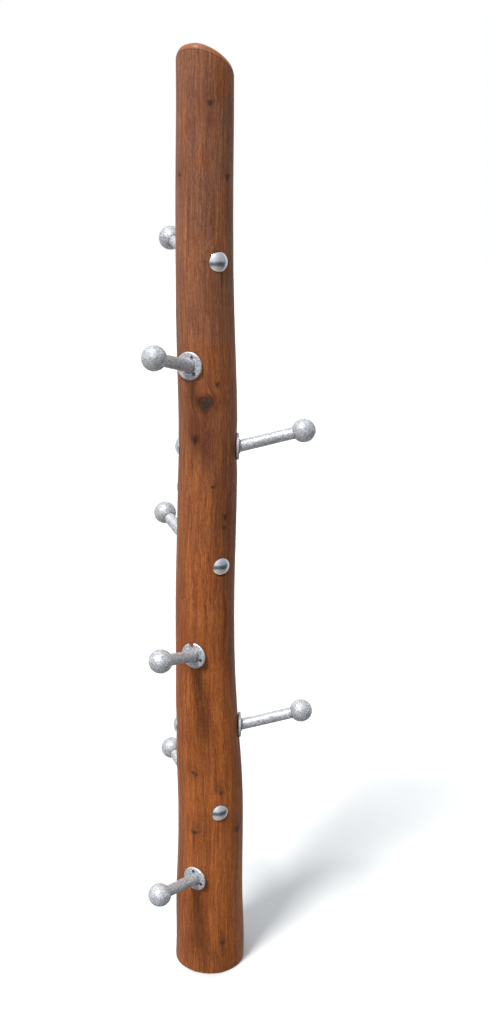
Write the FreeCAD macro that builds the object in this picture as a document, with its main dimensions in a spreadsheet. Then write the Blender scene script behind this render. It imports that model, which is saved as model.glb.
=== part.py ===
import FreeCAD, Part
import math
import os

import Sketcher

# Climbing post: a round timber post with eight ball-ended steel steps in a spiral.
# Millimetres. The origin is the middle of the base, Z is up, and the base rests on Z = 0.

doc = FreeCAD.newDocument("climbing_post")
sheet = doc.addObject("Spreadsheet::Sheet", "Sizes")

# ---------------------------------------------------------------- driving dimensions

SIZES = {
    # post
    "trunk_spacing": 200,        # between the trunk's sections
    "top_height": 2794,          # height of the sloping cut on the centre line
    "top_slope": 35,             # degrees
    "top_high_side": 240,        # degrees, the direction in which the cut rises
    "top_rounding": 16,
    "base_chamfer": 4,
    # step: ball, tube and flange, welded into one piece and galvanised
    "ball_diameter": 70,
    "ball_wall": 5,
    "tube_diameter": 35,
    "tube_wall": 3,
    "tube_rise": 14,             # degrees between the tube and the stud
    "tube_reach": 195,           # flange face to the centre of the ball, along the tube
    "tube_entry": 5,             # how far the tube goes into the ball's bore
    "flange_diameter": 80,
    "flange_thickness": 8,
    "flange_bevel": 2.5,
    "notch_width": 14,
    "notch_depth": 16,
    "screw_circle": 27,          # radius on which the screws stand
    # fasteners
    "stud_diameter": 16,
    "stud_setback": 2,           # stud end below the flange face, for the plug weld
    "stud_end": 5,               # thread standing out of the nut
    "stud_chamfer": 1.5,
    "washer_diameter": 40,
    "washer_hole": 17,
    "washer_thickness": 4,
    "nut_width": 24,             # across the flats
    "nut_thickness": 13,
    "screw_diameter": 6,
    "screw_length": 50,
    "screw_head": 11.5,
    "screw_socket": 4,           # across the flats
    "screw_socket_depth": 3,
    # domed cap over the nut
    "cap_diameter": 55,
    "cap_rise": 11.5,
    "cap_wall": 2,
    "cap_skirt_diameter": 44,
    "cap_skirt_depth": 8,
    "cap_vent": 3.5,
    # holes in the timber
    "seat_depth": 1.5,           # flat under the flange, below the bark line
    "seat_diameter": 84,
    "bore_diameter": 18,
    "cap_seat_depth": 2.5,
    "cap_seat_diameter": 58,
    "counterbore_diameter": 45,
    "counterbore_depth": 34,
}

# Trunk sections at equal spacing, from the ground up: radius, and how far the centre leans
# along X.
TRUNK = [(113, 7), (109.5, 5), (105, 8), (103.5, 8.5), (100, 0.5), (92.5, -6.5), (89.5, -9),
         (88.5, -7.5), (87.5, -3.5), (85.5, -2.5), (84.5, -7), (82, -11.5), (80.5, -12.5),
         (79.5, -11.5), (78.5, -11), (78, -11)]

# Steps, from the ground up: height of the stud, its heading round the post, its slope, how far
# it passes beside the trunk's own centre, and the turn of the flange on its own axis. Headings
# are degrees from +X. The drilled holes wander a little, as in any hand-drilled natural post.
STEPS = [
    (352, 236.8, -1, 14, 217),
    (584, 114, 0, 11, 97),
    (845, 1, 0, 0, -23),
    (1113, 241, 1, 11, 100),
    (1400, 119, 5, -5.5, 97),
    (1743, 0, 0, 0, -23),
    (1990, 241.5, 0, -7, 188),
    (2276, 113.5, 0, -8, 97),
]

SCREWS_PER_FLANGE = 2
SCREW_SPACING = 120              # degrees, counted on from the notch
TOOL_LENGTH = 80                 # reach of a cutter beyond the wood it cuts
TOP_BLOCK = 600                  # block of wood removed above the sloping cut


def fill_sheet():
    """Writes every driving dimension into the sheet under its own alias."""
    rows = dict(SIZES)
    for number, (radius, lean) in enumerate(TRUNK):
        rows["trunk_%d_radius" % number] = radius
        rows["trunk_%d_lean" % number] = lean
    for number, (height, heading, slope, aside, turn) in enumerate(STEPS, 1):
        rows["step_%d_height" % number] = height
        rows["step_%d_heading" % number] = heading
        rows["step_%d_slope" % number] = slope
        rows["step_%d_aside" % number] = aside
        rows["step_%d_turn" % number] = turn
    for row, (alias, value) in enumerate(rows.items(), 1):
        sheet.set("A%d" % row, alias)
        sheet.set("B%d" % row, str(value))
        sheet.setAlias("B%d" % row, alias)
    doc.recompute()


def size(alias):
    """A dimension read back from the sheet."""
    return float(getattr(sheet, alias))


def bind(feature, **expressions):
    """Ties properties of a feature to formulas in the sheet's aliases."""
    for name, formula in expressions.items():
        feature.setExpression(name, formula)


# ---------------------------------------------------------------- building blocks

def new_body(label, placement=None):
    """An empty body that carries the sub-part's name and place."""
    body = doc.addObject("PartDesign::Body", label)
    body.Label = label
    if placement is not None:
        body.Placement = placement
    return body


def plane(body, role):
    """One of the body's own origin planes."""
    return next(item for item in body.Origin.OriginFeatures if item.Role == role)


def new_sketch(body, name, role):
    sketch = body.newObject("Sketcher::SketchObject", name)
    sketch.AttachmentSupport = [(plane(body, role), "")]
    sketch.MapMode = "FlatFace"
    return sketch


def point_at(x, y):
    return FreeCAD.Vector(x, y, 0)


def add_circle(sketch, name, formula):
    """A circle about the sketch origin whose radius follows a formula."""
    index = sketch.addGeometry(Part.Circle(point_at(0, 0), FreeCAD.Vector(0, 0, 1), 10))
    sketch.addConstraint(Sketcher.Constraint("Coincident", index, 3, -1, 1))
    number = sketch.addConstraint(Sketcher.Constraint("Radius", index, 10))
    sketch.renameConstraint(number, name)
    sketch.setExpression("Constraints." + name, formula)


def add_outline(sketch, corners):
    """A closed outline of straight edges; each corner is a pair of formulas, or 0 on an axis."""
    start = [point_at(10 + 5 * math.cos(turn), 10 + 5 * math.sin(turn))
             for turn in (2 * math.pi * place / len(corners) for place in range(len(corners)))]
    for place in range(len(corners)):
        sketch.addGeometry(Part.LineSegment(start[place], start[(place + 1) % len(corners)]))
    for place in range(len(corners)):
        ahead = (place + 1) % len(corners)
        sketch.addConstraint(Sketcher.Constraint("Coincident", place, 2, ahead, 1))
    for place, corner in enumerate(corners):
        for kind, axis, formula in (("DistanceX", -2, corner[0]), ("DistanceY", -1, corner[1])):
            if formula == 0:
                sketch.addConstraint(Sketcher.Constraint("PointOnObject", place, 1, axis))
                continue
            number = sketch.addConstraint(Sketcher.Constraint(kind, -1, 1, place, 1, 10.0))
            name = "%s_%d" % (kind, place)
            sketch.renameConstraint(number, name)
            sketch.setExpression("Constraints." + name, formula)


def revolve(body, name, corners):
    """Turns an outline in the body's XZ plane about the body's Z axis."""
    sketch = new_sketch(body, name + "_profile", "XZ_Plane")
    add_outline(sketch, corners)
    feature = body.newObject("PartDesign::Revolution", name)
    feature.Profile = sketch
    feature.ReferenceAxis = (sketch, ["V_Axis"])
    feature.Angle = 360
    sketch.Visibility = False
    return feature


def primitive(body, kind, name, placement, **expressions):
    """An additive or subtractive primitive of the body, such as a cylinder or a sphere."""
    feature = body.newObject("PartDesign::" + kind, name)
    feature.Placement = placement
    bind(feature, **expressions)
    return feature


def along_z(distance):
    return FreeCAD.Placement(FreeCAD.Vector(0, 0, distance), FreeCAD.Rotation())


# ---------------------------------------------------------------- where things go

def trunk_at(height):
    """Radius and lean of the trunk at a height, between the two nearest sections."""
    below = int(height // size("trunk_spacing"))
    share = height / size("trunk_spacing") - below
    return [(1 - share) * size("trunk_%d_%s" % (below, kind))
            + share * size("trunk_%d_%s" % (below + 1, kind)) for kind in ("radius", "lean")]


def wood_distance(number):
    """From a step's origin to the outermost wood on either side, along the stud."""
    radius, _ = trunk_at(size("step_%d_height" % number))
    return radius / math.cos(math.radians(size("step_%d_slope" % number)))


def step_frame(number):
    """Frame of a step: Z outward along the stud, Y upward, origin beside the trunk's centre."""
    height = size("step_%d_height" % number)
    _, lean = trunk_at(height)
    heading = math.radians(size("step_%d_heading" % number))
    slope = math.radians(size("step_%d_slope" % number))
    outward = FreeCAD.Vector(math.cos(slope) * math.cos(heading),
                             math.cos(slope) * math.sin(heading), math.sin(slope))
    upward = FreeCAD.Vector(-math.sin(slope) * math.cos(heading),
                            -math.sin(slope) * math.sin(heading), math.cos(slope))
    sideways = upward.cross(outward)
    turn = FreeCAD.Rotation(sideways, upward, outward, "ZXY")
    origin = FreeCAD.Vector(lean, 0, height) + sideways * size("step_%d_aside" % number)
    return FreeCAD.Placement(origin, turn)


def seat_distance(number):
    """From a step's origin to the flat that the flange lies on."""
    return wood_distance(number) - size("seat_depth")


def cap_seat_distance(number):
    """From a step's origin to the flat that the cap lies on, on the far side of the post."""
    return wood_distance(number) - size("cap_seat_depth")


def far_side(number, distance):
    """Frame on the far side of the post, Z away from it, at a distance from the step's origin."""
    return step_frame(number) * FreeCAD.Placement(
        FreeCAD.Vector(0, 0, -distance), FreeCAD.Rotation(FreeCAD.Vector(0, 1, 0), 180))


def flange_frame(number):
    """Frame on the flange's back face, turned so that the notch lies along X."""
    turn = FreeCAD.Rotation(FreeCAD.Vector(0, 0, 1), size("step_%d_turn" % number))
    return step_frame(number) * FreeCAD.Placement(
        FreeCAD.Vector(0, 0, seat_distance(number)), turn)


def tube_frame(number):
    """Frame at the foot of the tube on the flange face, Z along the tube."""
    face = seat_distance(number) + size("flange_thickness")
    tilt = FreeCAD.Rotation(FreeCAD.Vector(1, 0, 0), -size("tube_rise"))
    return step_frame(number) * FreeCAD.Placement(FreeCAD.Vector(0, 0, face), tilt)


def screw_place(index):
    """Where a screw stands on the flange, in the flange's own frame."""
    turn = math.radians(SCREW_SPACING * (index + 1))
    reach = size("screw_circle")
    return FreeCAD.Placement(
        FreeCAD.Vector(reach * math.cos(turn), reach * math.sin(turn), 0), FreeCAD.Rotation())


# ---------------------------------------------------------------- the post

def trunk_loft(body):
    """The trunk's round sections, joined by one smooth loft."""
    sections = []
    for number in range(len(TRUNK)):
        sketch = new_sketch(body, "trunk_section_%d" % number, "XY_Plane")
        add_circle(sketch, "radius", "Sizes.trunk_%d_radius" % number)
        sketch.setExpression(".AttachmentOffset.Base.x", "Sizes.trunk_%d_lean" % number)
        sketch.setExpression(".AttachmentOffset.Base.z", "Sizes.trunk_spacing * %d" % number)
        sketch.Visibility = False
        sections.append(sketch)
    loft = body.newObject("PartDesign::AdditiveLoft", "trunk")
    loft.Profile = sections[0]
    loft.Sections = sections[1:]
    doc.recompute()
    return loft


def top_plane():
    """Frame of the sloping cut: Z along its normal, X down the slope."""
    aspect = FreeCAD.Rotation(FreeCAD.Vector(0, 0, 1), size("top_high_side") + 180)
    slope = FreeCAD.Rotation(FreeCAD.Vector(0, 1, 0), size("top_slope"))
    return FreeCAD.Placement(FreeCAD.Vector(0, 0, size("top_height")), aspect * slope)


def edges_on_plane(shape, frame):
    """Names of the edges that lie wholly in a frame's XY plane."""
    names = []
    for number, edge in enumerate(shape.Edges, 1):
        points = [frame.inverse().multVec(point) for point in edge.discretize(9)]
        if all(abs(point.z) < 0.01 for point in points):
            names.append("Edge%d" % number)
    return names


def shape_ends(body):
    """Cuts the top on a slope, rounds its edge and chamfers the base."""
    corner = FreeCAD.Placement(FreeCAD.Vector(-TOP_BLOCK / 2, -TOP_BLOCK / 2, 0), FreeCAD.Rotation())
    cut = primitive(body, "SubtractiveBox", "sloping_cut", top_plane() * corner)
    cut.Length = cut.Width = cut.Height = TOP_BLOCK
    doc.recompute()
    rounding = body.newObject("PartDesign::Fillet", "top_rounding")
    rounding.Base = (cut, edges_on_plane(cut.Shape, top_plane()))
    bind(rounding, Radius="Sizes.top_rounding")
    doc.recompute()
    chamfer = body.newObject("PartDesign::Chamfer", "base_chamfer")
    chamfer.Base = (rounding, edges_on_plane(rounding.Shape, along_z(0)))
    bind(chamfer, Size="Sizes.base_chamfer")
    doc.recompute()


def drill_step(body, number):
    """Every cut that one step needs in the timber."""
    name = "step_%d_" % number
    seat = step_frame(number) * along_z(seat_distance(number))
    cap_seat = far_side(number, cap_seat_distance(number))
    primitive(body, "SubtractiveCylinder", name + "seat", seat,
              Radius="Sizes.seat_diameter / 2").Height = TOOL_LENGTH
    through = seat_distance(number) + cap_seat_distance(number)
    primitive(body, "SubtractiveCylinder", name + "bore", cap_seat * along_z(-through),
              Radius="Sizes.bore_diameter / 2").Height = through
    primitive(body, "SubtractiveCylinder", name + "cap_seat", cap_seat,
              Radius="Sizes.cap_seat_diameter / 2").Height = TOOL_LENGTH
    primitive(body, "SubtractiveCylinder", name + "counterbore",
              cap_seat * along_z(-size("counterbore_depth")),
              Radius="Sizes.counterbore_diameter / 2").Height = size("counterbore_depth")
    depth = size("screw_length") - size("flange_thickness")
    for index in range(SCREWS_PER_FLANGE):
        pilot = flange_frame(number) * screw_place(index) * along_z(-depth)
        primitive(body, "SubtractiveCylinder", name + "pilot_%d" % (index + 1), pilot,
                  Radius="Sizes.screw_diameter / 2").Height = depth
    doc.recompute()


def make_post():
    """The timber post with its sloping top and the holes for every step."""
    body = new_body("post")
    trunk_loft(body)
    shape_ends(body)
    for number in range(1, len(STEPS) + 1):
        drill_step(body, number)
    return body


# ---------------------------------------------------------------- one welded step

def make_ball(number):
    """Hollow ball with the bore that the tube is welded into."""
    centre = tube_frame(number) * along_z(size("tube_reach"))
    body = new_body("step_%d_ball" % number, centre)
    middle = FreeCAD.Placement()
    primitive(body, "AdditiveSphere", "shell", middle, Radius="Sizes.ball_diameter / 2")
    primitive(body, "SubtractiveSphere", "hollow", middle,
              Radius="Sizes.ball_diameter / 2 - Sizes.ball_wall")
    primitive(body, "SubtractiveCylinder", "bore", along_z(-size("ball_diameter") / 2),
              Radius="Sizes.tube_diameter / 2", Height="Sizes.ball_diameter / 2")
    return body


def make_tube(number):
    """Tube cut square at the ball and on a slant at the flange."""
    body = new_body("step_%d_tube" % number, tube_frame(number))
    spare = size("tube_diameter")
    blank = new_sketch(body, "ring", "XY_Plane")
    add_circle(blank, "outside", "Sizes.tube_diameter / 2")
    add_circle(blank, "inside", "Sizes.tube_diameter / 2 - Sizes.tube_wall")
    blank.AttachmentOffset = along_z(-spare)
    blank.Visibility = False
    pipe = body.newObject("PartDesign::Pad", "pipe")
    pipe.Profile = blank
    bind(pipe, Length="Sizes.tube_reach - Sizes.ball_diameter / 2 + Sizes.tube_entry"
                      " + Sizes.tube_diameter")
    slant = FreeCAD.Rotation(FreeCAD.Vector(1, 0, 0), size("tube_rise"))
    foot = FreeCAD.Placement(FreeCAD.Vector(0, 0, 0), slant)
    corner = FreeCAD.Placement(FreeCAD.Vector(-spare, -spare, -2 * spare), FreeCAD.Rotation())
    waste = primitive(body, "SubtractiveBox", "slanted_foot", foot * corner)
    waste.Length = waste.Width = waste.Height = 2 * spare
    return body


def make_flange(number):
    """Bevelled round plate with a notch, two countersunk screw holes and the stud's hole."""
    body = new_body("step_%d_flange" % number, flange_frame(number))
    rim = "Sizes.flange_diameter / 2"
    revolve(body, "plate", [
        ("Sizes.stud_diameter / 2", 0),
        (rim + " - Sizes.flange_bevel", 0),
        (rim, "Sizes.flange_bevel"),
        (rim, "Sizes.flange_thickness - Sizes.flange_bevel"),
        (rim + " - Sizes.flange_bevel", "Sizes.flange_thickness"),
        ("Sizes.stud_diameter / 2", "Sizes.flange_thickness"),
    ])
    root = size("flange_diameter") / 2 - size("notch_depth") + size("notch_width") / 2
    primitive(body, "SubtractiveCylinder", "notch_root",
              FreeCAD.Placement(FreeCAD.Vector(root, 0, 0), FreeCAD.Rotation()),
              Radius="Sizes.notch_width / 2", Height="Sizes.flange_thickness")
    mouth = FreeCAD.Placement(
        FreeCAD.Vector(root, -size("notch_width") / 2, 0), FreeCAD.Rotation())
    primitive(body, "SubtractiveBox", "notch_mouth", mouth, Length="Sizes.flange_diameter / 2",
              Width="Sizes.notch_width", Height="Sizes.flange_thickness")
    for index in range(SCREWS_PER_FLANGE):
        name = "screw_hole_%d" % (index + 1)
        primitive(body, "SubtractiveCylinder", name, screw_place(index),
                  Radius="Sizes.screw_diameter / 2", Height="Sizes.flange_thickness")
        sink = screw_place(index) * along_z(size("flange_thickness") - head_depth())
        primitive(body, "SubtractiveCone", name + "_sink", sink, Radius1="Sizes.screw_diameter / 2",
                  Radius2="Sizes.screw_head / 2",
                  Height="(Sizes.screw_head - Sizes.screw_diameter) / 2")
    return body


def head_depth():
    """Depth of a screw head with a 90 degree cone."""
    return (size("screw_head") - size("screw_diameter")) / 2


# ---------------------------------------------------------------- fasteners and caps

def make_stud(number):
    """Threaded stud from the flange, through the post, to the nut."""
    clamped = seat_distance(number) + cap_seat_distance(number) - size("counterbore_depth")
    inward = clamped + size("washer_thickness") + size("nut_thickness") + size("stud_end")
    outer = size("flange_thickness") - size("stud_setback")
    foot = step_frame(number) * along_z(seat_distance(number) - inward)
    body = new_body("step_%d_stud" % number, foot)
    length = "%.3f" % (inward + outer)
    edge = "Sizes.stud_diameter / 2"
    revolve(body, "rod", [
        (0, 0),
        (edge + " - Sizes.stud_chamfer", 0),
        (edge, "Sizes.stud_chamfer"),
        (edge, length + " - Sizes.stud_chamfer"),
        (edge + " - Sizes.stud_chamfer", length),
        (0, length),
    ])
    return body


def make_washer(number):
    """Washer at the bottom of the counterbore."""
    floor = far_side(number, cap_seat_distance(number) - size("counterbore_depth"))
    body = new_body("washer_%d" % number, floor)
    revolve(body, "ring", [
        ("Sizes.washer_hole / 2", 0),
        ("Sizes.washer_diameter / 2", 0),
        ("Sizes.washer_diameter / 2", "Sizes.washer_thickness"),
        ("Sizes.washer_hole / 2", "Sizes.washer_thickness"),
    ])
    return body


def make_nut(number):
    """Hexagon nut on the washer."""
    floor = cap_seat_distance(number) - size("counterbore_depth") + size("washer_thickness")
    body = new_body("nut_%d" % number, far_side(number, floor))
    middle = FreeCAD.Placement()
    primitive(body, "AdditivePrism", "hexagon", middle, Height="Sizes.nut_thickness",
              Circumradius="Sizes.nut_width / 2 / cos(30)").Polygon = 6
    primitive(body, "SubtractiveCylinder", "thread", middle,
              Radius="Sizes.stud_diameter / 2", Height="Sizes.nut_thickness")
    return body


def make_screw(number, index):
    """Countersunk wood screw that keeps the flange from turning."""
    depth = size("screw_length") - size("flange_thickness")
    foot = flange_frame(number) * screw_place(index) * along_z(-depth)
    body = new_body("screw_%d_%d" % (number, index + 1), foot)
    shank = "Sizes.screw_diameter / 2"
    revolve(body, "shank_and_head", [
        (0, 0),
        (shank, "Sizes.screw_diameter"),
        (shank, "Sizes.screw_length - (Sizes.screw_head - Sizes.screw_diameter) / 2"),
        ("Sizes.screw_head / 2", "Sizes.screw_length"),
        (0, "Sizes.screw_length"),
    ])
    primitive(body, "SubtractivePrism", "socket",
              along_z(size("screw_length") - size("screw_socket_depth")),
              Circumradius="Sizes.screw_socket / 2 / cos(30)",
              Height="Sizes.screw_socket_depth").Polygon = 6
    return body


def dome(body, kind, name, radius, rise):
    """Adds or removes a dome: the part of a ball that stands a given rise above Z = 0."""
    ball = (radius ** 2 + rise ** 2) / (2 * rise)
    feature = primitive(body, kind, name, along_z(rise - ball))
    feature.Radius = ball
    feature.Angle1 = math.degrees(math.asin((ball - rise) / ball))


def make_cap(number):
    """Domed steel cap with a skirt that presses into the counterbore."""
    body = new_body("step_%d_cap" % number, far_side(number, cap_seat_distance(number)))
    wall = size("cap_wall")
    dome(body, "AdditiveSphere", "dome", size("cap_diameter") / 2, size("cap_rise"))
    skirt = along_z(-size("cap_skirt_depth"))
    primitive(body, "AdditiveCylinder", "skirt", skirt,
              Radius="Sizes.cap_skirt_diameter / 2", Height="Sizes.cap_skirt_depth")
    primitive(body, "SubtractiveCylinder", "skirt_hollow", skirt,
              Radius="Sizes.cap_skirt_diameter / 2 - Sizes.cap_wall",
              Height="Sizes.cap_skirt_depth")
    dome(body, "SubtractiveSphere", "dome_hollow", size("cap_skirt_diameter") / 2 - wall,
         size("cap_rise") - wall)
    primitive(body, "SubtractiveCylinder", "vent", FreeCAD.Placement(),
              Radius="Sizes.cap_vent / 2", Height="2 * Sizes.cap_rise")
    return body


def group(label, bodies):
    """Identical fasteners as one sub-part of separate solids."""
    compound = doc.addObject("Part::Compound", label)
    compound.Label = label
    compound.Links = bodies
    return compound


# ---------------------------------------------------------------- assembly and export

def make_parts():
    """Every sub-part of the climbing post."""
    numbers = range(1, len(STEPS) + 1)
    parts = [make_post()]
    for number in numbers:
        parts += [make_ball(number), make_tube(number), make_flange(number),
                  make_stud(number), make_cap(number)]
    parts.append(group("washers", [make_washer(number) for number in numbers]))
    parts.append(group("nuts", [make_nut(number) for number in numbers]))
    parts.append(group("wood_screws", [make_screw(number, index) for number in numbers
                                       for index in range(SCREWS_PER_FLANGE)]))
    doc.recompute()
    return parts


def check(parts):
    """Stops if any object failed to compute or any sub-part is not a sound solid."""
    for item in doc.Objects:
        if "Invalid" in item.State or "Error" in item.State:
            raise RuntimeError("%s did not compute" % item.Label)
    for part in parts:
        if part.Shape.isNull() or not part.Shape.isValid():
            raise RuntimeError("%s is not a valid solid" % part.Label)


def export(parts):
    """Writes each sub-part to its own file in the shared frame."""
    os.makedirs("parts", exist_ok=True)
    for part in parts:
        part.Shape.exportStep("parts/%s.step" % part.Label)


fill_sheet()
PARTS = make_parts()
check(PARTS)
export(PARTS)
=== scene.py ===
import math

import bpy
import numpy as np
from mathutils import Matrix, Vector
from mathutils.bvhtree import BVHTree


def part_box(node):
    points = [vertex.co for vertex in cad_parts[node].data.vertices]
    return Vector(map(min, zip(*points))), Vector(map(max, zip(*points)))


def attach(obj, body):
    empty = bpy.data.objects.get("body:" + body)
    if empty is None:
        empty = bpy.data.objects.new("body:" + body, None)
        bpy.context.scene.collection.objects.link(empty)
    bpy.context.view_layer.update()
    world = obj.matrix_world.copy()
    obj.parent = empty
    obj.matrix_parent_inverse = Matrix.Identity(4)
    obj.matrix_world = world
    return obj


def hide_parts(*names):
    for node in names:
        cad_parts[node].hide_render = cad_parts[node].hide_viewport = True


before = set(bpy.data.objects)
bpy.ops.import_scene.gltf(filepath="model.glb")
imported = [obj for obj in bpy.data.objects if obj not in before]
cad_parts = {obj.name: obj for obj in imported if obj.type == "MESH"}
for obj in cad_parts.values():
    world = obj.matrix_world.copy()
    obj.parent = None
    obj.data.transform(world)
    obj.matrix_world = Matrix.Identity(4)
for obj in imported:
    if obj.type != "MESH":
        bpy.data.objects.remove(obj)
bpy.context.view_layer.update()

# ---------------------------------------------------------------------------------------------------------
# The looks of a timber climbing post with eight ball-ended steel steps. Metres and radians throughout.
# The steel is the CAD's own, with welds added. The post is modelled anew round the CAD post, hole by hole.
# ---------------------------------------------------------------------------------------------------------

STEP_NAMES = [f"step_{number}" for number in range(1, 9)]
TURN = 2 * math.pi


def cloud(node):
    """A CAD node's vertices, each place once."""
    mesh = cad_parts[node].data
    flat = np.empty(3 * len(mesh.vertices))
    mesh.vertices.foreach_get("co", flat)
    return np.unique(flat.reshape(-1, 3).round(5), axis=0)


def unit(vector):
    return np.array(vector, float) / np.linalg.norm(vector)


def across(points, origin, axis):
    """How far each point stands from the line through origin along axis."""
    away = points - origin
    return np.linalg.norm(away - np.outer(away @ axis, axis), axis=1)


def soft_step(value, start, end):
    """0 below start, 1 above end, smooth between."""
    share = np.clip((value - start) / (end - start), 0, 1)
    return share * share * (3 - 2 * share)


# ---------------------------------------------------------------------------------------------------------
# Where each step is, read from its CAD pieces
# ---------------------------------------------------------------------------------------------------------


def stud_line(stud, towards):
    """The middle of a stud and its direction, from the middles of its two ends."""
    middle = (stud.min(axis=0) + stud.max(axis=0)) / 2
    axis = unit((towards - middle) * (1, 1, 0))
    end_depth = 0.001
    for _ in range(4):
        along = (stud - middle) @ axis
        outer = stud[along > along.max() - end_depth].mean(axis=0)
        inner = stud[along < along.min() + end_depth].mean(axis=0)
        axis = unit(outer - inner)
        middle = (outer + inner) / 2
    return middle, axis


class Step:
    """One step's lines and planes. Distances run from the stud's middle outward, towards the ball."""

    def __init__(self, name):
        self.name = name
        low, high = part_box(name + "_ball")
        self.ball = np.array((low + high) / 2)
        self.ball_radius = (high.z - low.z) / 2
        self.middle, self.axis = stud_line(cloud(name + "_stud"), self.ball)

        flange = cloud(name + "_flange")
        self.flange_radius = across(flange, self.middle, self.axis).max()
        self.flange_back = self.along(flange).min()
        self.flange_face = self.along(flange).max()

        cap = cloud(name + "_cap")
        self.cap_radius = across(cap, self.middle, self.axis).max()
        brim = cap[across(cap, self.middle, self.axis) > self.cap_radius - 0.0005]
        self.cap_back = self.along(brim).max()

        washers = cloud("washers")
        own = washers[across(washers, self.middle, self.axis) < self.cap_radius]
        own = own[self.along(own) < 0]
        self.washer_radius = across(own, self.middle, self.axis).max()
        self.washer_seat = self.along(own).max()

        tube = cloud(name + "_tube")
        self.foot = self.middle + self.flange_face * self.axis
        self.tube_axis = unit(self.ball - self.foot)
        self.tube_radius = across(tube, self.foot, self.tube_axis).max()

    def along(self, points):
        return (points - self.middle) @ self.axis


STEPS = [Step(name) for name in STEP_NAMES]

# ---------------------------------------------------------------------------------------------------------
# The log: sections read from the CAD post, with the small unevenness of a barked trunk
# ---------------------------------------------------------------------------------------------------------

COLUMNS = 180
SIDE_RINGS = 470
SECTION_SPACING = 0.02
CHAMFER = 0.004
TOP_ROUNDING = 0.016
TOP_SLOPE = math.radians(35)
TOP_HIGH_SIDE = math.radians(240)
HIGH_SIDE = np.array((math.cos(TOP_HIGH_SIDE), math.sin(TOP_HIGH_SIDE), 0))
CROWN_STEP = 0.0009
TOOL_REACH = 0.17
FAR_FROM_KNOTS = 6.0

# height, heading in degrees, radius, how far it stands out, how much taller than wide
KNOTS = (
    # in front, as the photo shows them
    (2.690, 280, 0.008, 0.0006, 1.2), (2.505, 213, 0.006, -0.0006, 1.2), (2.500, 322, 0.007, 0.0006, 1.4),
    (1.885, 268, 0.023, -0.0012, 1.3), (1.940, 291, 0.007, 0.0005, 1.0), (1.780, 245, 0.007, 0.0006, 2.4),
    (1.640, 281, 0.006, -0.0006, 1.1), (1.548, 308, 0.008, 0.0008, 1.4), (1.514, 306, 0.006, -0.0006, 1.0),
    (0.722, 240, 0.006, -0.0006, 1.0), (0.716, 246, 0.005, -0.0006, 1.0), (0.655, 290, 0.007, 0.0006, 1.3),
    (0.514, 240, 0.009, 0.0012, 1.0), (0.508, 326, 0.009, 0.0010, 1.4), (0.112, 292, 0.005, -0.0006, 1.5),
    # behind and at the sides, free inventions
    (2.610, 96, 0.009, 0.0008, 1.4), (2.420, 28, 0.010, 0.0010, 1.2), (2.120, 152, 0.014, -0.0010, 1.3),
    (1.930, 88, 0.008, 0.0008, 1.1), (1.620, 172, 0.011, 0.0010, 1.5), (1.480, 22, 0.009, -0.0008, 1.2),
    (1.230, 96, 0.015, 0.0012, 1.3), (1.020, 148, 0.009, 0.0006, 1.1), (0.960, 52, 0.011, -0.0010, 1.6),
    (0.700, 160, 0.010, 0.0008, 1.2), (0.480, 84, 0.016, 0.0014, 1.2), (0.300, 22, 0.009, -0.0008, 1.3),
    (0.190, 138, 0.010, 0.0010, 1.4),
)


def read_section(tree, height):
    """Centre and radius of the CAD post at a height: a circle through where rays from outside meet it."""
    reach, ray_count, slack = 0.3, 36, 0.0004
    hits = []
    for heading in np.linspace(0, TURN, ray_count, endpoint=False):
        outward = Vector((math.cos(heading), math.sin(heading), 0))
        start = outward * reach + Vector((0, 0, height))
        place = tree.ray_cast(start, -outward)[0]
        if place is not None:
            hits.append((place.x, place.y))
    points = np.array(hits)
    keep = np.ones(len(points), bool)
    for _ in range(6):
        x, y = points[keep].T
        terms = np.column_stack((2 * x, 2 * y, np.ones_like(x)))
        solved = np.linalg.lstsq(terms, x * x + y * y, rcond=None)[0]
        centre = solved[:2]
        radius = math.sqrt(solved[2] + centre @ centre)
        miss = np.hypot(*(points - centre).T) - radius
        keep = abs(miss - np.median(miss)) < slack
    return centre[0], centre[1], radius


def blurred(values, half_width):
    """values with their small steps smoothed away; the ends keep their value."""
    weights = np.hanning(2 * half_width + 3)[1:-1]
    padded = np.pad(values, half_width, mode="edge")
    return np.convolve(padded, weights / weights.sum(), mode="valid")


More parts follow.
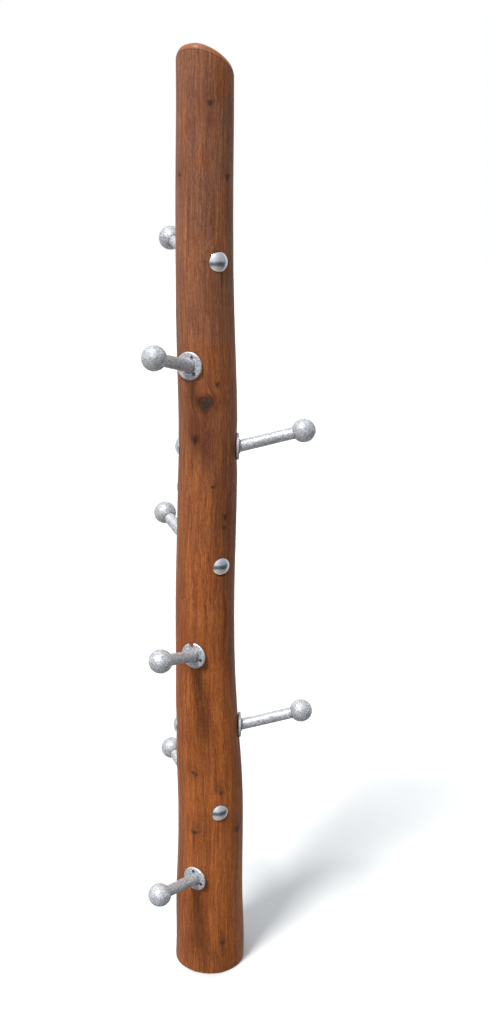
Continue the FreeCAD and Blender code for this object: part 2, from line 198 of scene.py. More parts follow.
class Trunk:
    """The log's centre line and radius at any height, and its top plane."""

    def __init__(self):
        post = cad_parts["post"]
        corners = [vertex.co for vertex in post.data.vertices]
        tree = BVHTree.FromPolygons(corners, [face.vertices for face in post.data.polygons])
        below_cut = 0.13
        last_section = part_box("post")[1].z - below_cut
        self.heights = np.arange(CHAMFER * 2, last_section, SECTION_SPACING)
        sections = np.array([read_section(tree, height) for height in self.heights])
        self.lines = [blurred(column, 3) for column in sections.T]
        highest = max(corner.z for corner in corners)
        self.plane_height = self.find_plane(highest)

    def at(self, height):
        return [np.interp(height, self.heights, line) for line in self.lines]

    def find_plane(self, highest):
        """The cut's height on the centre line, from the post's highest point, which lies on the rounding."""
        radius = self.lines[2][-1]
        slope = math.tan(TOP_SLOPE)
        return highest - (radius - TOP_ROUNDING) * slope + TOP_ROUNDING / math.cos(TOP_SLOPE) - TOP_ROUNDING

    def unevenness(self, heading, height):
        """Slow waves round and along the log, still where a step or a cap stands on it."""
        bulge = 0.0009 * np.sin(2 * heading + 1.1 * np.sin(1.3 * height + 0.4) + 0.7)
        bulge += 0.0006 * np.sin(3 * heading + 2.0 * np.sin(0.9 * height) + 2.9 * height)
        bulge += 0.0004 * np.sin(5 * heading - 3.7 * height + 1.9)
        bulge += 0.00025 * np.sin(9 * heading + 2.2 * np.sin(2.1 * height) + 0.3)
        bulge += 0.0005 * np.sin(11.0 * height + 1.5 * np.sin(heading)) * np.sin(heading + 4.2 * height)
        return bulge * self.calm(heading, height)

    def calm(self, heading, height):
        """0 on the seats of the steps and caps, 1 away from them."""
        x, y, radius = self.at(height)
        points = np.stack((x + radius * np.cos(heading), y + radius * np.sin(heading), height), axis=-1)
        quiet = np.ones(np.shape(heading))
        for step in STEPS:
            gap = across(points.reshape(-1, 3), step.middle, step.axis).reshape(quiet.shape)
            quiet = np.minimum(quiet, soft_step(gap, step.flange_radius, 2 * step.flange_radius))
        return quiet


trunk = Trunk()


def knot_places(heading, height):
    """For each knot: how far each point is from it across and along the grain, in the knot's radii.

    Branches leave a trunk upward, so every knot is wide and blunt above and runs to a point below.
    """
    radius = trunk.at(height)[2]
    for knot_height, knot_heading, size, lift, tall in KNOTS:
        turn = (heading - math.radians(knot_heading) + math.pi) % TURN - math.pi
        rise = (height - knot_height) / (size * tall)
        side = turn * radius / size / np.clip(1 + 0.62 * rise, 0.32, 1.5)
        yield side, np.where(rise > 0, 1.6 * rise, rise), size, lift


def knot_relief(heading, height):
    """The low swelling round each knot, with the knot's own face standing out or sunk."""
    relief = np.zeros(np.shape(heading))
    for side, rise, size, lift in knot_places(heading, height):
        distance = np.hypot(side, rise)
        relief += 0.0010 * np.exp(-((distance / 2.4) ** 2)) * size / 0.012
        relief += lift * (1 - soft_step(distance, 0.7, 1.2))
    return relief


def log_point(heading, height, inset=0.0):
    """Points on the log's side, inset towards its middle."""
    x, y, radius = trunk.at(height)
    radius = radius - inset + trunk.unevenness(heading, height) + knot_relief(heading, height)
    return np.stack((x + radius * np.cos(heading), y + radius * np.sin(heading), height), axis=-1)


def crown_height(heading, radius):
    """Height at which the side turns into the rounded edge of the cut; radius is the log's own there."""
    rise = (radius - TOP_ROUNDING) * math.tan(TOP_SLOPE) * np.cos(heading - TOP_HIGH_SIDE)
    return trunk.plane_height + rise - TOP_ROUNDING / math.cos(TOP_SLOPE)


def rounding_rows(heading):
    """Rows of points over the rounded edge, from the side up onto the sloping cut."""
    slope = math.tan(TOP_SLOPE)
    x, y, _ = trunk.at(trunk.plane_height)
    rim = log_point(heading, np.full_like(heading, trunk.plane_height))
    outer = np.hypot(rim[:, 0] - x, rim[:, 1] - y)
    radius = outer - TOP_ROUNDING
    height = crown_height(heading, outer)
    core = np.stack((x + radius * np.cos(heading), y + radius * np.sin(heading), height), axis=-1)
    side = np.stack((np.cos(heading), np.sin(heading), np.zeros_like(heading)), axis=-1)
    face = unit(np.array((0, 0, 1)) - slope * HIGH_SIDE)
    angle = np.arccos(side @ face)
    rows = []
    row_count = 11
    for share in np.linspace(0, 1, row_count):
        from_side = np.sin((1 - share) * angle) / np.sin(angle)
        from_face = np.sin(share * angle) / np.sin(angle)
        direction = side * from_side[:, None] + face * from_face[:, None]
        inset = CROWN_STEP * soft_step(share, 0.0, 0.12)
        rows.append(core + (TOP_ROUNDING - inset) * direction)
    return rows


def timber_rows():
    """All rows of the log's skin, from the middle of the foot to the middle of the cut."""
    blend_height = 0.06
    heading = np.linspace(0, TURN, COLUMNS, endpoint=False)
    foot = log_point(heading, np.zeros_like(heading), CHAMFER)
    foot_middle = foot.mean(axis=0)
    rows = [foot_middle + (foot - foot_middle) * share for share in (0.1, 0.3, 0.5, 0.7, 0.85, 0.95, 1.0)]
    edge = rounding_rows(heading)
    edge_height = edge[0][:, 2]
    for share in np.linspace(0, 1, SIDE_RINGS):
        height = CHAMFER + (edge_height - CHAMFER) * share
        below_edge = np.column_stack((edge[0][:, :2], height))
        blend = soft_step(height, edge_height - blend_height, edge_height)[:, None]
        rows.append(log_point(heading, height) * (1 - blend) + below_edge * blend)
    rows += edge[1:]
    rim = edge[-1]
    cut_middle = rim.mean(axis=0)
    inward = (0.96, 0.88, 0.76, 0.62, 0.46, 0.3, 0.15, 0.05)
    rows += [cut_middle + (rim - cut_middle) * share for share in inward]
    return rows, foot_middle, cut_middle


def grid_mesh(name, rows, poles=None, joined=False):
    """A mesh over rows of points, each row a loop.

    poles are the two points that close the first and the last row; joined rows close into a ring instead.
    """
    points = np.concatenate(rows)
    count = len(rows[0])
    row = np.arange(len(rows) if joined else len(rows) - 1)[:, None]
    column = np.arange(count)
    above = (row + 1) % len(rows)
    after = (column + 1) % count
    corners = (row * count + column, row * count + after, above * count + after, above * count + column)
    faces = np.stack(corners, axis=-1).reshape(-1, 4).tolist()
    if poles is not None:
        low, high = len(points), len(points) + 1
        last = (len(rows) - 1) * count
        points = np.vstack((points, poles))
        faces += np.column_stack((after, column, np.full(count, low))).tolist()
        faces += np.column_stack((last + column, last + after, np.full(count, high))).tolist()
    mesh = bpy.data.meshes.new(name)
    mesh.from_pydata(points.tolist(), [], faces)
    mesh.validate()
    return mesh


def new_object(name, mesh):
    thing = bpy.data.objects.new(name, mesh)
    bpy.context.scene.collection.objects.link(thing)
    return thing


def spindle_rows(step):
    """The space that a step takes out of the log: seat, bore, counterbore and the cap's flat."""
    segments, gap = 96, 0.002
    bore_radius, counterbore_radius, point_radius = 0.009, 0.0225, 0.0005
    outline = (
        (-TOOL_REACH, point_radius),
        (-TOOL_REACH, step.cap_radius + gap),
        (step.cap_back, step.cap_radius + gap),
        (step.cap_back, counterbore_radius),
        (step.washer_seat, counterbore_radius),
        (step.washer_seat, bore_radius),
        (step.flange_back, bore_radius),
        (step.flange_back, step.flange_radius + gap),
        (TOOL_REACH, step.flange_radius + gap),
        (TOOL_REACH, point_radius),
    )
    side = unit(np.cross((0, 0, 1), step.axis))
    upward = np.cross(step.axis, side)
    turn = np.linspace(0, TURN, segments, endpoint=False)
    ring = np.outer(np.cos(turn), side) + np.outer(np.sin(turn), upward)
    return [step.middle + distance * step.axis + radius * ring for distance, radius in outline]


def carve(thing, tools):
    """Takes the tools' volumes out of thing's mesh."""
    for tool in tools:
        cut = thing.modifiers.new("cut", "BOOLEAN")
        cut.operation = "DIFFERENCE"
        cut.solver = "EXACT"
        cut.object = tool
    shown = thing.evaluated_get(bpy.context.evaluated_depsgraph_get())
    mesh = bpy.data.meshes.new_from_object(shown)
    thing.modifiers.clear()
    thing.data = mesh
    for tool in tools:
        bpy.data.objects.remove(tool)


def grain_attributes(mesh):
    """Writes where each point lies in the wood.

    "grain" follows the fibres, which bend round the knots. "pith" is the distance from the log's middle.
    "knot" is the distance from the nearest knot in that knot's radii, and "stain" is how much resin a knot has
    left in the fibres above and below it. "crown" is the height above the line where the planed edge of the
    top begins, and "cut" is the depth below the plane of the sloping cut.
    """
    points = np.empty(3 * len(mesh.vertices))
    mesh.vertices.foreach_get("co", points)
    points = points.reshape(-1, 3)
    height = points[:, 2]
    x, y, radius = trunk.at(height)
    away = points[:, :2] - np.column_stack((x, y))
    pith_distance = np.hypot(*away.T)
    heading = np.arctan2(away[:, 1], away[:, 0])
    shift = np.zeros_like(heading)
    nearest = np.full(len(points), FAR_FROM_KNOTS)
    stain = np.zeros_like(heading)
    for side, rise, size, _ in knot_places(heading, height):
        square = side ** 2 + (0.55 * rise) ** 2
        shift -= side * size / (square + 0.25) * np.exp(-square / 30)
        nearest = np.minimum(nearest, np.hypot(side, rise))
        stain = np.maximum(stain, np.exp(-((side / 2.4) ** 2) - (rise / 8.0) ** 2))
    bent = heading + shift / radius
    grain = np.column_stack((pith_distance * np.cos(bent), pith_distance * np.sin(bent), height))
    attribute = mesh.attributes.new("grain", "FLOAT_VECTOR", "POINT")
    attribute.data.foreach_set("vector", grain.astype(np.float32).ravel())
    outer = trunk.at(trunk.plane_height)[2]
    crown = height - crown_height(heading, outer)
    cut_height = trunk.plane_height + away @ HIGH_SIDE[:2] * math.tan(TOP_SLOPE)
    cut = (cut_height - height) * math.cos(TOP_SLOPE)
    measures = {"pith": pith_distance, "knot": nearest, "stain": stain, "crown": crown, "cut": cut}
    for name, values in measures.items():
        attribute = mesh.attributes.new(name, "FLOAT", "POINT")
        attribute.data.foreach_set("value", values.astype(np.float32))


def smooth_shade(mesh, sharp_angle=math.radians(40)):
    """Smooth shading that keeps the edges sharper than sharp_angle."""
    mesh.shade_smooth()
    mesh.set_sharp_from_angle(angle=sharp_angle)


def make_timber():
    """The log with everything that the steps take out of it, in place of the CAD post."""
    rows, foot_middle, cut_middle = timber_rows()
    post = new_object("timber_post", grid_mesh("timber_post", rows, poles=(foot_middle, cut_middle)))
    tools = []
    for step in STEPS:
        ends = [step.middle + sign * TOOL_REACH * step.axis for sign in (-1, 1)]
        name = step.name + "_tool"
        tools.append(new_object(name, grid_mesh(name, spindle_rows(step), poles=ends)))
    carve(post, tools)
    grain_attributes(post.data)
    smooth_shade(post.data)
    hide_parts("post")
    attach(post, "root")
    return post


# ---------------------------------------------------------------------------------------------------------
# Welds
# ---------------------------------------------------------------------------------------------------------


def bead(name, path, size, ripples, seed):
    """A closed weld bead along a loop of points, with the overlapping ripples that a welder's hand leaves."""
    random = np.random.default_rng(seed)
    count = len(path)
    forward = np.roll(path, -1, axis=0) - np.roll(path, 1, axis=0)
    forward /= np.linalg.norm(forward, axis=1)[:, None]
    middle = path.mean(axis=0)
    outward = path - middle
    outward -= (outward * forward).sum(axis=1)[:, None] * forward
    outward /= np.linalg.norm(outward, axis=1)[:, None]
    upward = np.cross(forward, outward)
    place = np.arange(count) / count
    wander = np.zeros(count)
    for wave in (1, 2, 3, 5):
        swing = random.uniform(-1, 1)
        wander += swing * np.sin(TURN * wave * place + random.uniform(0, TURN))
    ripple = (place * ripples) % 1
    width = size * (1 + 0.10 * wander + 0.16 * (ripple ** 0.6 - 0.5))
    sides = 12
    rows = []
    for turn in np.linspace(0, TURN, sides, endpoint=False):
        rows.append(path + (outward * math.cos(turn) + upward * math.sin(turn)) * width[:, None])
    mesh = grid_mesh(name, rows, joined=True)
    mesh.shade_smooth()
    return new_object(name, mesh)


def make_welds(step, seed):
    """The bead where the tube meets the ball, and the one where it meets the flange."""
    points_round = 168
    side = unit(np.cross((0, 0, 1), step.tube_axis))
    upward = np.cross(step.tube_axis, side)
    turn = np.linspace(0, TURN, points_round, endpoint=False)
    ring = step.tube_radius * (np.outer(np.cos(turn), side) + np.outer(np.sin(turn), upward))
    reach = math.sqrt(step.ball_radius ** 2 - step.tube_radius ** 2)
    on_ball = step.ball - reach * step.tube_axis + ring
    lift = -(ring @ step.axis) / (step.tube_axis @ step.axis)
    on_flange = step.foot + ring + lift[:, None] * step.tube_axis
    beads = [
        bead(step.name + "_ball_weld", on_ball, size=0.0017, ripples=40, seed=seed),
        bead(step.name + "_flange_weld", on_flange, size=0.0032, ripples=36, seed=seed + 1),
    ]
    for weld in beads:
        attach(weld, "root")
    return beads


# ---------------------------------------------------------------------------------------------------------
# Materials
# ---------------------------------------------------------------------------------------------------------


class Nodes:
    """Writes nodes into a tree. Most calls add one node and give back the socket that it makes."""

    def __init__(self, tree):
        self.tree = tree

    def node(self, kind, inputs=(), **settings):
        made = self.tree.nodes.new("ShaderNode" + kind)
        for key, value in settings.items():
            setattr(made, key, value)
        for key, value in dict(inputs).items():
            self.put(made.inputs[key], value)
        return made

    def put(self, socket, value):
        if isinstance(value, bpy.types.NodeSocket):
            self.tree.links.new(value, socket)
        else:
            socket.default_value = value

    def attribute(self, name, output="Vector"):
        return self.node("Attribute", attribute_name=name).outputs[output]

    def place(self):
        return self.node("TexCoord").outputs["Object"]

    def math(self, operation, first, second=0.0, third=0.0):
        return self.node("Math", {0: first, 1: second, 2: third}, operation=operation).outputs[0]

    def times(self, first, second):
        return self.math("MULTIPLY", first, second)

    def scaled(self, vector, x, y, z):
        return self.node("VectorMath", {0: vector, 1: (x, y, z)}, operation="MULTIPLY").outputs[0]

    def added(self, vector, other):
        return self.node("VectorMath", {0: vector, 1: other}, operation="ADD").outputs[0]

    def split(self, vector):
        made = self.node("SeparateXYZ", {0: vector})
        return made.outputs[0], made.outputs[1], made.outputs[2]

    def noise(self, vector, scale=1.0, detail=2.0, roughness=0.5, output=0):
        """Cloudy noise about 0.5; output 1 gives three at once, as a colour."""
        inputs = {"Vector": vector, "Scale": scale, "Detail": detail, "Roughness": roughness}
        return self.node("TexNoise", inputs).outputs[output]

    def cells(self, vector, scale, feature="F1", output="Distance"):
        return self.node("TexVoronoi", {"Vector": vector, "Scale": scale}, feature=feature).outputs[output]

    def span(self, value, low, high, to_low=0.0, to_high=1.0, smooth=True):
        """Takes low..high to to_low..to_high, and stays at the ends outside."""
        inputs = {"Value": value, "From Min": low, "From Max": high, "To Min": to_low, "To Max": to_high}
        kind = "SMOOTHSTEP" if smooth else "LINEAR"
        return self.node("MapRange", inputs, interpolation_type=kind, clamp=True).outputs["Result"]

    def mix(self, share, first, second):
        made = self.node("Mix", data_type="RGBA")
        for index, value in ((0, share), (6, first), (7, second)):
            self.put(made.inputs[index], value)
        return made.outputs[2]

    def ramp(self, value, stops):
        made = self.node("ValToRGB", {0: value})
        elements = made.color_ramp.elements
        while len(elements) < len(stops):
            elements.new(0.5)
        for element, (place, colour) in zip(elements, stops):
            element.position = place
            element.color = colour
        return made.outputs[0]

    def bump(self, height, distance, strength):
        inputs = {"Height": height, "Distance": distance, "Strength": strength}
        return self.node("Bump", inputs).outputs[0]


class Shader(Nodes):
    """A new material's nodes, round its one surface shader."""

    def __init__(self, name):
        self.material = bpy.data.materials.new(name)
        self.material.use_nodes = True
        super().__init__(self.material.node_tree)
        self.surface = self.tree.nodes["Principled BSDF"]

    def set(self, **values):
        """Sets the shader's inputs, written with _ for each space of their names."""
        for key, value in values.items():
            self.put(self.surface.inputs[key.replace("_", " ")], value)


def rgb(red, green, blue):
    """A linear colour from the display values of a paint chart, 0 to 255."""
    linear = []
    for value in (red, green, blue):
        share = value / 255
        linear.append(share / 12.92 if share <= 0.04045 else ((share + 0.055) / 1.055) ** 2.4)
    return (*linear, 1.0)


class Timber(Shader):
    """Oiled orange-brown heartwood, with a painted grey sheen of reflected light towards the top. Each of its
    features is laid over the colour.
    """

    def __init__(self, name):
        super().__init__(name)
        self.straight = self.attribute("grain")
        self.pith = self.attribute("pith", "Fac")
        self.crown = self.attribute("crown", "Fac")
        self.planed = self.span(self.crown, 0.0, 0.002)

        sway = self.noise(self.scaled(self.straight, 7, 7, 8), detail=2, output=1)
        centred = self.added(sway, (-0.5, -0.5, -0.5))
        self.grain = self.added(self.straight, self.scaled(centred, 0.014, 0.014, 0.0))
        self.broad = self.along_grain(14, 1.1, detail=3, roughness=0.5)
        self.patch = self.along_grain(9, 5, detail=3, roughness=0.5, shift=(2.0, 8.0, 5.0))
        self.streak = self.along_grain(95, 3.0, detail=4, shift=(7.1, 3.3, 1.7))
        self.line = self.along_grain(260, 7.0, detail=3, shift=(1.1, 9.3, 4.7))
        self.fleck = self.along_grain(380, 110, detail=2)
        self.fibre = self.along_grain(620, 24, detail=2)
        self.pore = self.span(self.along_grain(1300, 60, detail=1, roughness=0.5), 0.60, 0.72, 0.0, 0.5)
        self.warp = self.along_grain(14, 1.6, detail=2, roughness=0.45)

    def along_grain(self, crosswise, lengthwise, detail, roughness=0.6, shift=(0.0, 0.0, 0.0)):
        """Noise that changes so many times per metre across the fibres and along them."""
        place = self.added(self.scaled(self.grain, crosswise, crosswise, lengthwise), shift)
        return self.noise(place, detail=detail, roughness=roughness)

    def rings(self, per_metre, wander, start, end):
        """Growth rings. Each darkens from start to end of its width, then breaks off."""
        place = self.math("ADD", self.times(self.pith, per_metre), self.times(self.warp, wander))
        ring = self.math("FRACT", place)
        return self.times(self.span(ring, start, end), self.span(ring, end, 1.0, 1.0, 0.0))

    def lay(self, share, paint):
        self.colour = self.mix(share, self.colour, paint)

    def heartwood(self):
        """Broad tones, a painted grey sheen towards the top, streaks, growth rings, lines, flecks, fibres,
        pores and fine checks.
        """
        tones = ((0.32, rgb(124, 64, 29)), (0.50, rgb(156, 85, 38)), (0.68, rgb(180, 101, 47)))
        self.colour = self.ramp(self.broad, tones)
        height = self.split(self.straight)[2]
        # Painted grey sheen: greyer higher up, in patches, standing in for light reflected off the upper part
        # of the post.
        painted_grey_sheen = self.times(self.span(height, 0.9, 2.6), self.span(self.patch, 0.30, 0.62, 0.22, 0.62))
        self.lay(painted_grey_sheen, rgb(124, 99, 88))
        self.lay(self.span(self.streak, 0.50, 0.68, 0.0, 0.42), rgb(98, 50, 24))
        self.lay(self.span(self.streak, 0.34, 0.47, 0.26, 0.0), rgb(214, 132, 60))
        self.late_wood = self.rings(210, 34, 0.35, 0.93)
        self.lay(self.times(self.late_wood, 0.22), rgb(108, 54, 24))
        self.lay(self.span(self.line, 0.50, 0.66, 0.0, 0.36), rgb(88, 46, 26))
        self.lay(self.span(self.line, 0.35, 0.47, 0.22, 0.0), rgb(222, 144, 74))
        self.lay(self.span(self.fleck, 0.50, 0.70, 0.0, 0.34), rgb(92, 50, 28))
        self.lay(self.span(self.fleck, 0.32, 0.48, 0.22, 0.0), rgb(216, 140, 80))
        self.lay(self.span(self.fibre, 0.52, 0.66, 0.0, 0.34), rgb(84, 46, 28))
        self.lay(self.pore, rgb(60, 34, 22))
        self.lay(self.span(self.patch, 0.48, 0.72, 0.0, 0.40), rgb(122, 60, 26))
        self.check = self.times(self.span(self.line, 0.66, 0.70), self.span(self.broad, 0.52, 0.60))
        self.lay(self.times(self.check, 0.7), rgb(48, 28, 18))

    def knots(self):
        """Resin along the fibres, a dark halo, then each knot's ringed heart and its ring of bark."""
        resin = self.times(self.attribute("stain", "Fac"), self.span(self.streak, 0.36, 0.60, 0.30, 1.0))
        self.lay(self.times(resin, 0.62), rgb(92, 48, 28))
        ragged = self.noise(self.scaled(self.straight, 110, 110, 60), detail=3, roughness=0.6)
        ragged = self.times(self.math("SUBTRACT", ragged, 0.5), 1.3)
        reach = self.math("ADD", self.attribute("knot", "Fac"), ragged)
        reach = self.math("ADD", reach, self.times(self.planed, FAR_FROM_KNOTS))
        self.knot_ring = self.span(self.math("SINE", self.times(reach, 11.0)), -0.8, 1.0)
        self.heart = self.span(reach, 0.45, 1.30, 1.0, 0.0)
        self.bark = self.times(self.span(reach, 0.55, 0.95), self.span(reach, 0.95, 1.45, 1.0, 0.0))
        self.lay(self.span(reach, 1.0, 2.2, 0.30, 0.0), rgb(112, 58, 28))
        paler = self.times(self.knot_ring, self.span(self.fleck, 0.4, 0.6))
        self.lay(self.times(self.heart, 0.94), self.mix(paler, rgb(54, 45, 38), rgb(76, 60, 47)))
        self.lay(self.times(self.bark, 0.35), rgb(46, 30, 22))

    def planed_edge(self):
        """The paler rounding of the top, with a thin dark line under it."""
        self.lay(self.times(self.planed, 0.34), rgb(172, 108, 66))
        under = self.times(self.span(self.crown, -0.003, 0.0), self.span(self.crown, 0.0, 0.002, 1.0, 0.0))
        self.lay(self.times(under, 0.6), rgb(70, 40, 26))

    def sloping_cut(self):
        """End grain: close rings, rays from the middle, and drying splits that start a little way out."""
        cut = self.span(self.attribute("cut", "Fac"), 0.0015, 0.012, 1.0, 0.0)
        ring = self.rings(330, 6, 0.3, 0.9)
        sideways = self.scaled(self.straight, 1, 1, 0)
        spoke = self.node("VectorMath", {0: sideways}, operation="NORMALIZE").outputs[0]
        ray = self.noise(self.scaled(spoke, 19, 19, 1), detail=4, roughness=0.65)
        opened = self.times(self.span(ray, 0.64, 0.67), self.span(self.pith, 0.012, 0.045))
        self.drying_split = self.times(opened, cut)
        self.end_ring = self.times(ring, cut)
        tone = self.mix(self.times(ring, 0.7), rgb(176, 110, 68), rgb(112, 62, 38))
        tone = self.mix(self.span(ray, 0.46, 0.62, 0.0, 0.35), tone, rgb(118, 70, 46))
        tone = self.mix(self.span(self.fleck, 0.50, 0.70, 0.0, 0.40), tone, rgb(96, 56, 38))
        self.lay(self.times(cut, 0.85), tone)
        self.lay(self.times(self.drying_split, 0.85), rgb(46, 30, 22))

    def relief(self):
        """How high the surface stands: grooves in the soft and open wood, ridges on rings and knots."""
        height = 0.0
        for pattern, amount in (
            (self.fibre, -0.4), (self.line, -0.6), (self.late_wood, 0.25), (self.streak, -0.8),
            (self.fleck, -0.5), (self.pore, -1.0), (self.check, -1.2), (self.bark, -0.5),
            (self.times(self.heart, self.knot_ring), 0.5), (self.drying_split, -2.5), (self.end_ring, 0.8),
        ):
            height = self.math("MULTIPLY_ADD", pattern, amount, height)
        return height

    def oil(self):
        """Uneven satin oil, smoother on the planed edge, over the relief."""
        rough = self.span(self.fibre, 0.3, 0.7, 0.46, 0.62)
        rough = self.math("ADD", rough, self.times(self.math("SUBTRACT", self.patch, 0.5), 0.25))
        rough = self.math("SUBTRACT", rough, self.times(self.planed, 0.22))
        strength = self.span(self.planed, 0.0, 1.0, 0.55, 0.2, smooth=False)
        self.set(Base_Color=self.colour, Roughness=rough, Normal=self.bump(self.relief(), 0.0008, strength))
        self.set(IOR=1.45, Specular_IOR_Level=0.28, Coat_Weight=0.03, Coat_Roughness=0.38)
        self.set(Sheen_Weight=0.07, Sheen_Roughness=0.22, Sheen_Tint=(0.95, 0.90, 0.86, 1))


def timber_material():
    wood = Timber("oiled_timber")
    wood.heartwood()
    wood.knots()
    wood.planed_edge()
    wood.sloping_cut()
    wood.oil()
    return wood.material


def galvanised_material(name, low, middle, high):
    """Hot-dip zinc: matt grey with fine crystal grains, each a little lighter or darker, and small dross."""
    sh = Shader(name)
    place = sh.place()
    swirl = sh.noise(place, 60, 2, output=1)
    bent = sh.added(place, sh.scaled(swirl, 0.005, 0.005, 0.005))
    tone = sh.split(sh.cells(bent, 270, output="Color"))[0]
    small = sh.split(sh.cells(bent, 560, output="Color"))[0]
    seam = sh.cells(bent, 270, feature="DISTANCE_TO_EDGE")
    mottle = sh.noise(place, 330, 4, 0.65)
    cloudy = sh.noise(place, 34, 3, 0.5)

    shade = sh.math("ADD", sh.times(tone, 0.34), sh.times(small, 0.34))
    shade = sh.math("ADD", shade, sh.times(mottle, 0.40))
    colour = sh.ramp(shade, ((0.30, low), (0.54, middle), (0.78, high)))
    colour = sh.mix(sh.span(seam, 0.0, 0.04, 0.35, 0.0), colour, low)
    colour = sh.mix(sh.span(cloudy, 0.42, 0.72, 0.0, 0.30), colour, rgb(158, 161, 166))
    dross = sh.span(sh.noise(sh.added(place, (3.0, 1.0, 2.0)), 170, 2, 0.5), 0.64, 0.72)
    colour = sh.mix(sh.times(dross, 0.55), colour, rgb(104, 106, 110))
    rough = sh.span(shade, 0.1, 1.0, 0.60, 0.36)
    relief = sh.math("ADD", sh.times(mottle, 0.9), sh.times(tone, 0.3))
    relief = sh.math("ADD", relief, sh.times(cloudy, 1.0))
    relief = sh.math("ADD", relief, sh.times(dross, 0.5))
    sh.set(Base_Color=colour, Roughness=rough, Normal=sh.bump(relief, 0.0006, 0.6))
    sh.set(Metallic=0.4, Specular_IOR_Level=0.6)
    return sh.material


def polished_material():
    """Polished stainless caps with fine brushing scratches and light handling marks."""
    sh = Shader("polished_steel")
    place = sh.place()
    scratches = sh.noise(sh.scaled(place, 900, 900, 60), detail=2, roughness=0.6)
    smears = sh.noise(place, 45, 3, 0.5)
    colour = sh.mix(sh.span(smears, 0.4, 0.7), rgb(240, 242, 245), rgb(226, 228, 232))
    rough = sh.math("ADD", sh.span(scratches, 0.3, 0.7, 0.14, 0.24), sh.span(smears, 0.5, 0.8, 0.0, 0.08))
    sh.set(Base_Color=colour, Roughness=rough, Normal=sh.bump(scratches, 0.00008, 0.35))
    sh.set(Metallic=1.0)
    return sh.material


def fastener_material(name, bright, dull_colour):
    """Plated fasteners: a thin plating, duller in patches, over turned steel."""
    sh = Shader(name)
    place = sh.place()
    dull = sh.noise(place, 140, 3, 0.6)
    turning = sh.noise(sh.scaled(place, 700, 700, 700), detail=2)
    colour = sh.mix(sh.span(dull, 0.4, 0.7), bright, dull_colour)
    sh.set(Base_Color=colour, Roughness=sh.span(dull, 0.3, 0.7, 0.30, 0.50))
    sh.set(Normal=sh.bump(turning, 0.0002, 0.3), Metallic=0.9)
    return sh.material


def paint(node, material):
    """Puts one material on the whole of a CAD node."""
    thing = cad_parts[node]
    for index in range(len(thing.material_slots)):
        thing.material_slots[index].material = material


# ---------------------------------------------------------------------------------------------------------
# Floor, light and camera
# ---------------------------------------------------------------------------------------------------------


def stage_material(name, colour, glow):
    """White paper: a matt floor, or a backdrop that only glows."""
    sh = Shader(name)
    sh.set(Base_Color=colour, Roughness=1.0, Specular_IOR_Level=0.0)
    sh.set(Emission_Color=(1, 1, 1, 1), Emission_Strength=glow)
    return sh.material


def ring(radius, height):
    """A level circle of points round the post."""
    turn = np.linspace(0, TURN, 96, endpoint=False)
    return np.column_stack((radius * np.cos(turn), radius * np.sin(turn), np.full_like(turn, height)))


def make_stage():
    """A pale floor, and a white wall far round it that only the camera sees."""
    reach, wall_foot, wall_top = 30.0, -0.5, 25.0
    rim = ring(reach, 0.0)
    disc = bpy.data.meshes.new("floor")
    disc.from_pydata(rim.tolist(), [], [list(range(len(rim)))])
    floor = new_object("floor", disc)
    wall = new_object("backdrop", grid_mesh("backdrop", [ring(reach, wall_foot), ring(reach, wall_top)]))
    floor.data.materials.append(stage_material("floor_paper", (0.710, 0.724, 0.730, 1), 0.0))
    wall.data.materials.append(stage_material("backdrop_paper", (0, 0, 0, 1), 1.0))
    for thing in (floor, wall):
        thing.visible_diffuse = False
        thing.visible_glossy = False
        thing.visible_transmission = False
        thing.visible_shadow = False


def make_key():
    """A large soft lamp to the left and in front of the post, high up."""
    lamp = bpy.data.lights.new("key", "SUN")
    lamp.energy = 3.4
    lamp.angle = math.radians(14)
    lamp.color = (1.0, 0.985, 0.96)
    key = bpy.data.objects.new("key", lamp)
    bpy.context.scene.collection.objects.link(key)
    heading, elevation = math.radians(232.5), math.radians(56)
    level = math.cos(elevation)
    towards_lamp = Vector((math.cos(heading) * level, math.sin(heading) * level, math.sin(elevation)))
    key.rotation_euler = towards_lamp.to_track_quat("Z", "Y").to_euler()


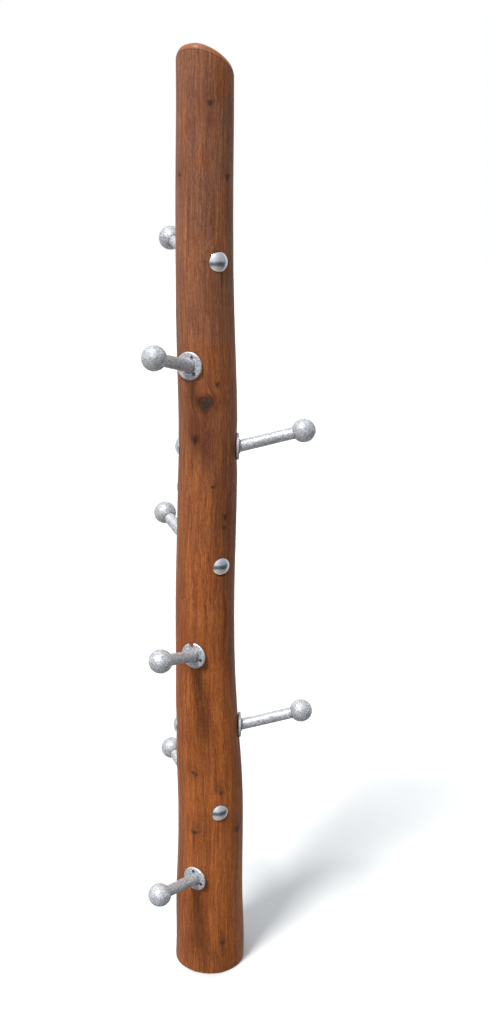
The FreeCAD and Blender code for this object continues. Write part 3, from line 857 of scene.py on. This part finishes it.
def make_studio():
    """The pale room round the post: in front with a dark band below the horizon, and screened on the right."""
    world = bpy.data.worlds.new("studio")
    bpy.context.scene.world = world
    world.use_nodes = True
    room = Nodes(world.node_tree)
    side, depth, height = room.split(room.node("TexCoord").outputs["Generated"])
    level = room.span(height, -1, 1, smooth=False)
    front = room.ramp(level, (
        (0.0, (0.58, 0.54, 0.50, 1)), (0.16, (0.60, 0.55, 0.50, 1)), (0.27, (0.12, 0.14, 0.17, 1)),
        (0.43, (0.13, 0.16, 0.20, 1)), (0.56, (0.78, 0.81, 0.86, 1)), (1.0, (0.98, 1.0, 1.02, 1)),
    ))
    back = room.ramp(level, (
        (0.0, (0.62, 0.60, 0.57, 1)), (0.3, (0.55, 0.56, 0.57, 1)),
        (0.52, (0.62, 0.65, 0.68, 1)), (1.0, (0.95, 0.98, 1.0, 1)),
    ))
    screen = room.span(side, -0.25, 0.8, 1.0, 0.48)
    behind = room.span(depth, 0.0, 0.4, smooth=False)
    background = world.node_tree.nodes["Background"]
    room.put(background.inputs["Color"], room.mix(room.span(depth, -0.1, 0.45, smooth=False), front, back))
    room.put(background.inputs["Strength"], room.math("MAXIMUM", screen, behind))


def make_camera():
    """At a standing height above the post's waist, 3.6 m in front, looking a little down."""
    data = bpy.data.cameras.new("camera")
    data.lens = 43.6
    data.sensor_width = 36
    data.shift_x = 0.0428
    data.shift_y = 0.0453
    data.clip_end = 200
    camera = bpy.data.objects.new("camera", data)
    camera.location = (0, -3.576, 2.5375)
    camera.rotation_euler = (math.radians(72.30), 0, math.radians(0.39))
    bpy.context.scene.collection.objects.link(camera)
    bpy.context.scene.camera = camera


# ---------------------------------------------------------------------------------------------------------
# The model
# ---------------------------------------------------------------------------------------------------------

post = make_timber()
post.data.materials.clear()
post.data.materials.append(timber_material())

zinc = galvanised_material("hot_dip_zinc", rgb(136, 140, 146), rgb(188, 191, 195), rgb(236, 237, 239))
# Darker zinc on the weld beads: painted shade in the grooves where the tube meets the ball and the flange.
weld_zinc_painted_shade = galvanised_material("weld_zinc_painted_shade", rgb(88, 92, 98), rgb(126, 130, 136), rgb(178, 180, 184))
polish = polished_material()
plating = fastener_material("zinc_plating", rgb(188, 194, 202), rgb(138, 140, 142))
worn_plating = fastener_material("worn_plating", rgb(128, 130, 134), rgb(92, 92, 94))
for seed, step in enumerate(STEPS):
    for part in ("ball", "tube", "flange"):
        paint(f"{step.name}_{part}", zinc)
    paint(step.name + "_cap", polish)
    paint(step.name + "_stud", plating)
    for weld in make_welds(step, 10 * seed):
        weld.data.materials.append(weld_zinc_painted_shade)
paint("washers", plating)
paint("nuts", plating)
paint("wood_screws", worn_plating)

make_stage()
make_key()
make_studio()
make_camera()
bpy.context.scene.view_settings.view_transform = "Standard"
